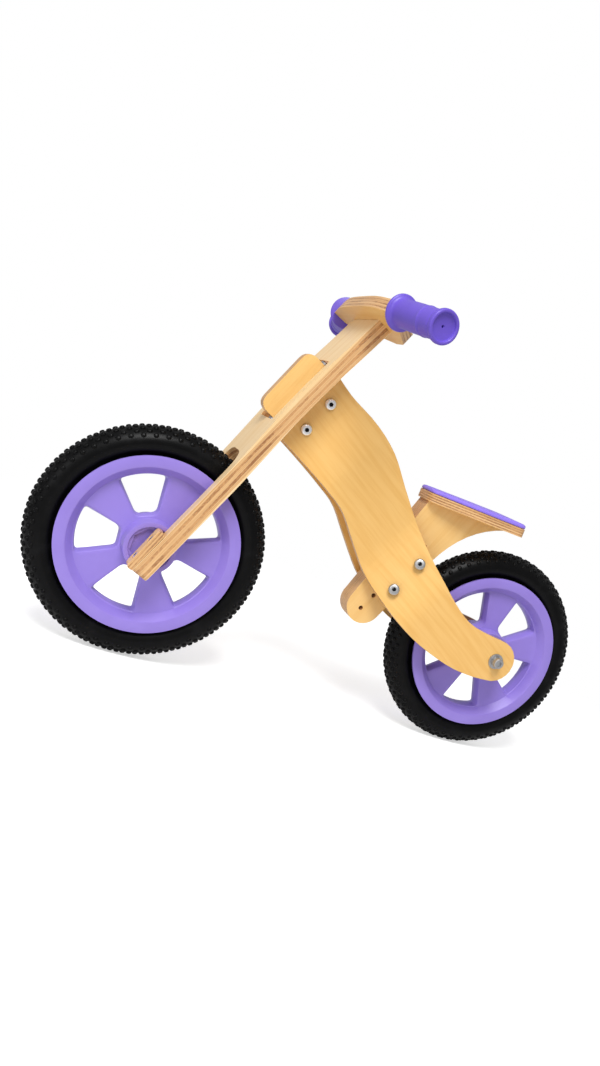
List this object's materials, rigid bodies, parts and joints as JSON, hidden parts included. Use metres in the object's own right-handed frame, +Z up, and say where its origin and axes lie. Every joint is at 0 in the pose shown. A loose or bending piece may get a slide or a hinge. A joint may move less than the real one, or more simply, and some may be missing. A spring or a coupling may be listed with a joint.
{
  "type": "balance bike",
  "caption": "Child's balance bike with bent plywood side panels, a slotted plywood fork, moulded spoked wheels, knobbly tyres, swept grips and a padded seat.",
  "frame": {"origin": "on the floor under the middle of the bike, both tyres standing on z = 0", "axes": "+X forward, towards the front wheel; +Y to the rider's left; +Z up"},
  "size_m": [0.816, 0.4232, 0.5552],
  "materials": {
    "birch_ply": "clear satin lacquer over birch plywood",
    "purple_plastic": "moulded, smooth satin",
    "grip_rubber": "soft matt",
    "seat_pad": "soft foam sheet with a fine matt skin",
    "rubber": "black moulded rubber",
    "zinc_steel": "bright zinc plate"
  },
  "bodies": {
    "frame": {"knuckle_bolt_1": "zinc_steel", "knuckle_bolt_2": "zinc_steel", "knuckle_nut_1": "zinc_steel", "knuckle_nut_2": "zinc_steel", "rear_axle": "zinc_steel", "rear_cap_left": "zinc_steel", "rear_cap_right": "zinc_steel", "rear_spacer_left": "zinc_steel", "rear_spacer_right": "zinc_steel", "rear_washer_left": "zinc_steel", "rear_washer_right": "zinc_steel", "seat_board": "birch_ply", "seat_bolt_1": "zinc_steel", "seat_bolt_2": "zinc_steel", "seat_nut_1": "zinc_steel", "seat_nut_2": "zinc_steel", "seat_pad": "seat_pad", "seat_sleeve_1_left": "zinc_steel", "seat_sleeve_1_right": "zinc_steel", "seat_sleeve_2_left": "zinc_steel", "seat_sleeve_2_right": "zinc_steel", "seat_support_left": "birch_ply", "seat_support_right": "birch_ply", "side_panel_left": "birch_ply", "side_panel_right": "birch_ply", "steering_knuckle": "birch_ply"},
    "fork": {"bar_core_left": "zinc_steel", "bar_core_right": "zinc_steel", "clamp_block_left": "birch_ply", "clamp_block_right": "birch_ply", "clamp_screw_1_left": "zinc_steel", "clamp_screw_1_right": "zinc_steel", "clamp_screw_2_left": "zinc_steel", "clamp_screw_2_right": "zinc_steel", "fork_board": "birch_ply", "front_axle": "zinc_steel", "front_spacer_left": "zinc_steel", "front_spacer_right": "zinc_steel", "grip_left": "grip_rubber", "grip_right": "grip_rubber", "handlebar_yoke": "birch_ply", "pivot_rod": "zinc_steel", "pivot_washer_lower": "zinc_steel", "pivot_washer_upper": "zinc_steel"},
    "front_wheel": {"front_bearing_left": "zinc_steel", "front_bearing_right": "zinc_steel", "front_rim": "purple_plastic", "front_tyre": "rubber"},
    "rear_wheel": {"rear_bearing_left": "zinc_steel", "rear_bearing_right": "zinc_steel", "rear_rim": "purple_plastic", "rear_tyre": "rubber"}
  },
  "joints": [
    {"name": "steering", "type": "hinge", "parent": "frame", "child": "fork", "pos_m": [0.24724, 0, 0.14832], "axis": [-0.3875, 0, 0.9219], "range_deg": [-20, 20]},
    {"name": "front_wheel_spin", "type": "hinge", "parent": "fork", "child": "front_wheel", "pos_m": [0.256, 0, 0.152], "axis": [0, 1, 0], "continuous": true},
    {"name": "rear_wheel_spin", "type": "hinge", "parent": "frame", "child": "rear_wheel", "pos_m": [-0.256, 0, 0.152], "axis": [0, 1, 0], "continuous": true}
  ]
}
